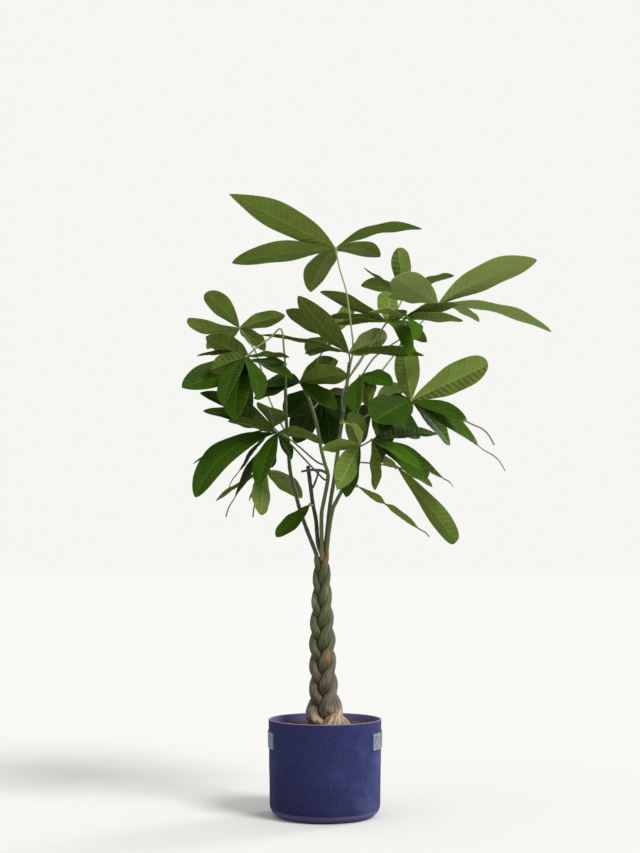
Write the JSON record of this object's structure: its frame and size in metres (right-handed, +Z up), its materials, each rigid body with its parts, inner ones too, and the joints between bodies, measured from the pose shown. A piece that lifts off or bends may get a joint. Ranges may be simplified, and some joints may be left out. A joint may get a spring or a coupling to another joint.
{
  "type": "potted braided money tree",
  "caption": "Braided-trunk indoor tree with palmate glossy leaves, standing in a round felt planter with webbing handles.",
  "frame": {"origin": "centre of the planter's flat base", "axes": "+Z up along the trunk, +X to the right and -Y towards the front as pictured"},
  "size_m": [0.7414, 0.4751, 1.2266],
  "materials": {
    "felt": "matte navy felt",
    "webbing": "woven grey-blue webbing",
    "soil": "loose dark potting mix",
    "bark": "fibrous grey-brown bark, green shoots above",
    "leaf": "glossy dark green above, duller olive below"
  },
  "bodies": {
    "root": {"felt_pot": "felt", "strap_left": "webbing", "strap_right": "webbing", "soil": "soil", "stem_right": "bark", "stem_inner": "bark", "stem_left": "bark", "stem_back": "bark", "stem_front": "bark", "leaf_top": "leaf", "leaf_far_left": "leaf", "leaf_left_front": "leaf", "leaf_low_left": "leaf", "leaf_low_left_back": "leaf", "leaf_under_left": "leaf", "leaflet_low": "leaf", "leaf_middle": "leaf", "leaf_middle_back": "leaf", "leaf_right_small": "leaf", "leaf_right_near": "leaf", "leaf_far_right": "leaf", "leaf_top_right": "leaf", "leaf_right": "leaf", "leaf_right_low": "leaf", "leaf_right_hanging": "leaf", "leaf_twisted": "leaf", "leaf_centre_low": "leaf", "leaf_centre": "leaf", "leaf_centre_left": "leaf", "leaf_heart": "leaf"}
  },
  "joints": []
}
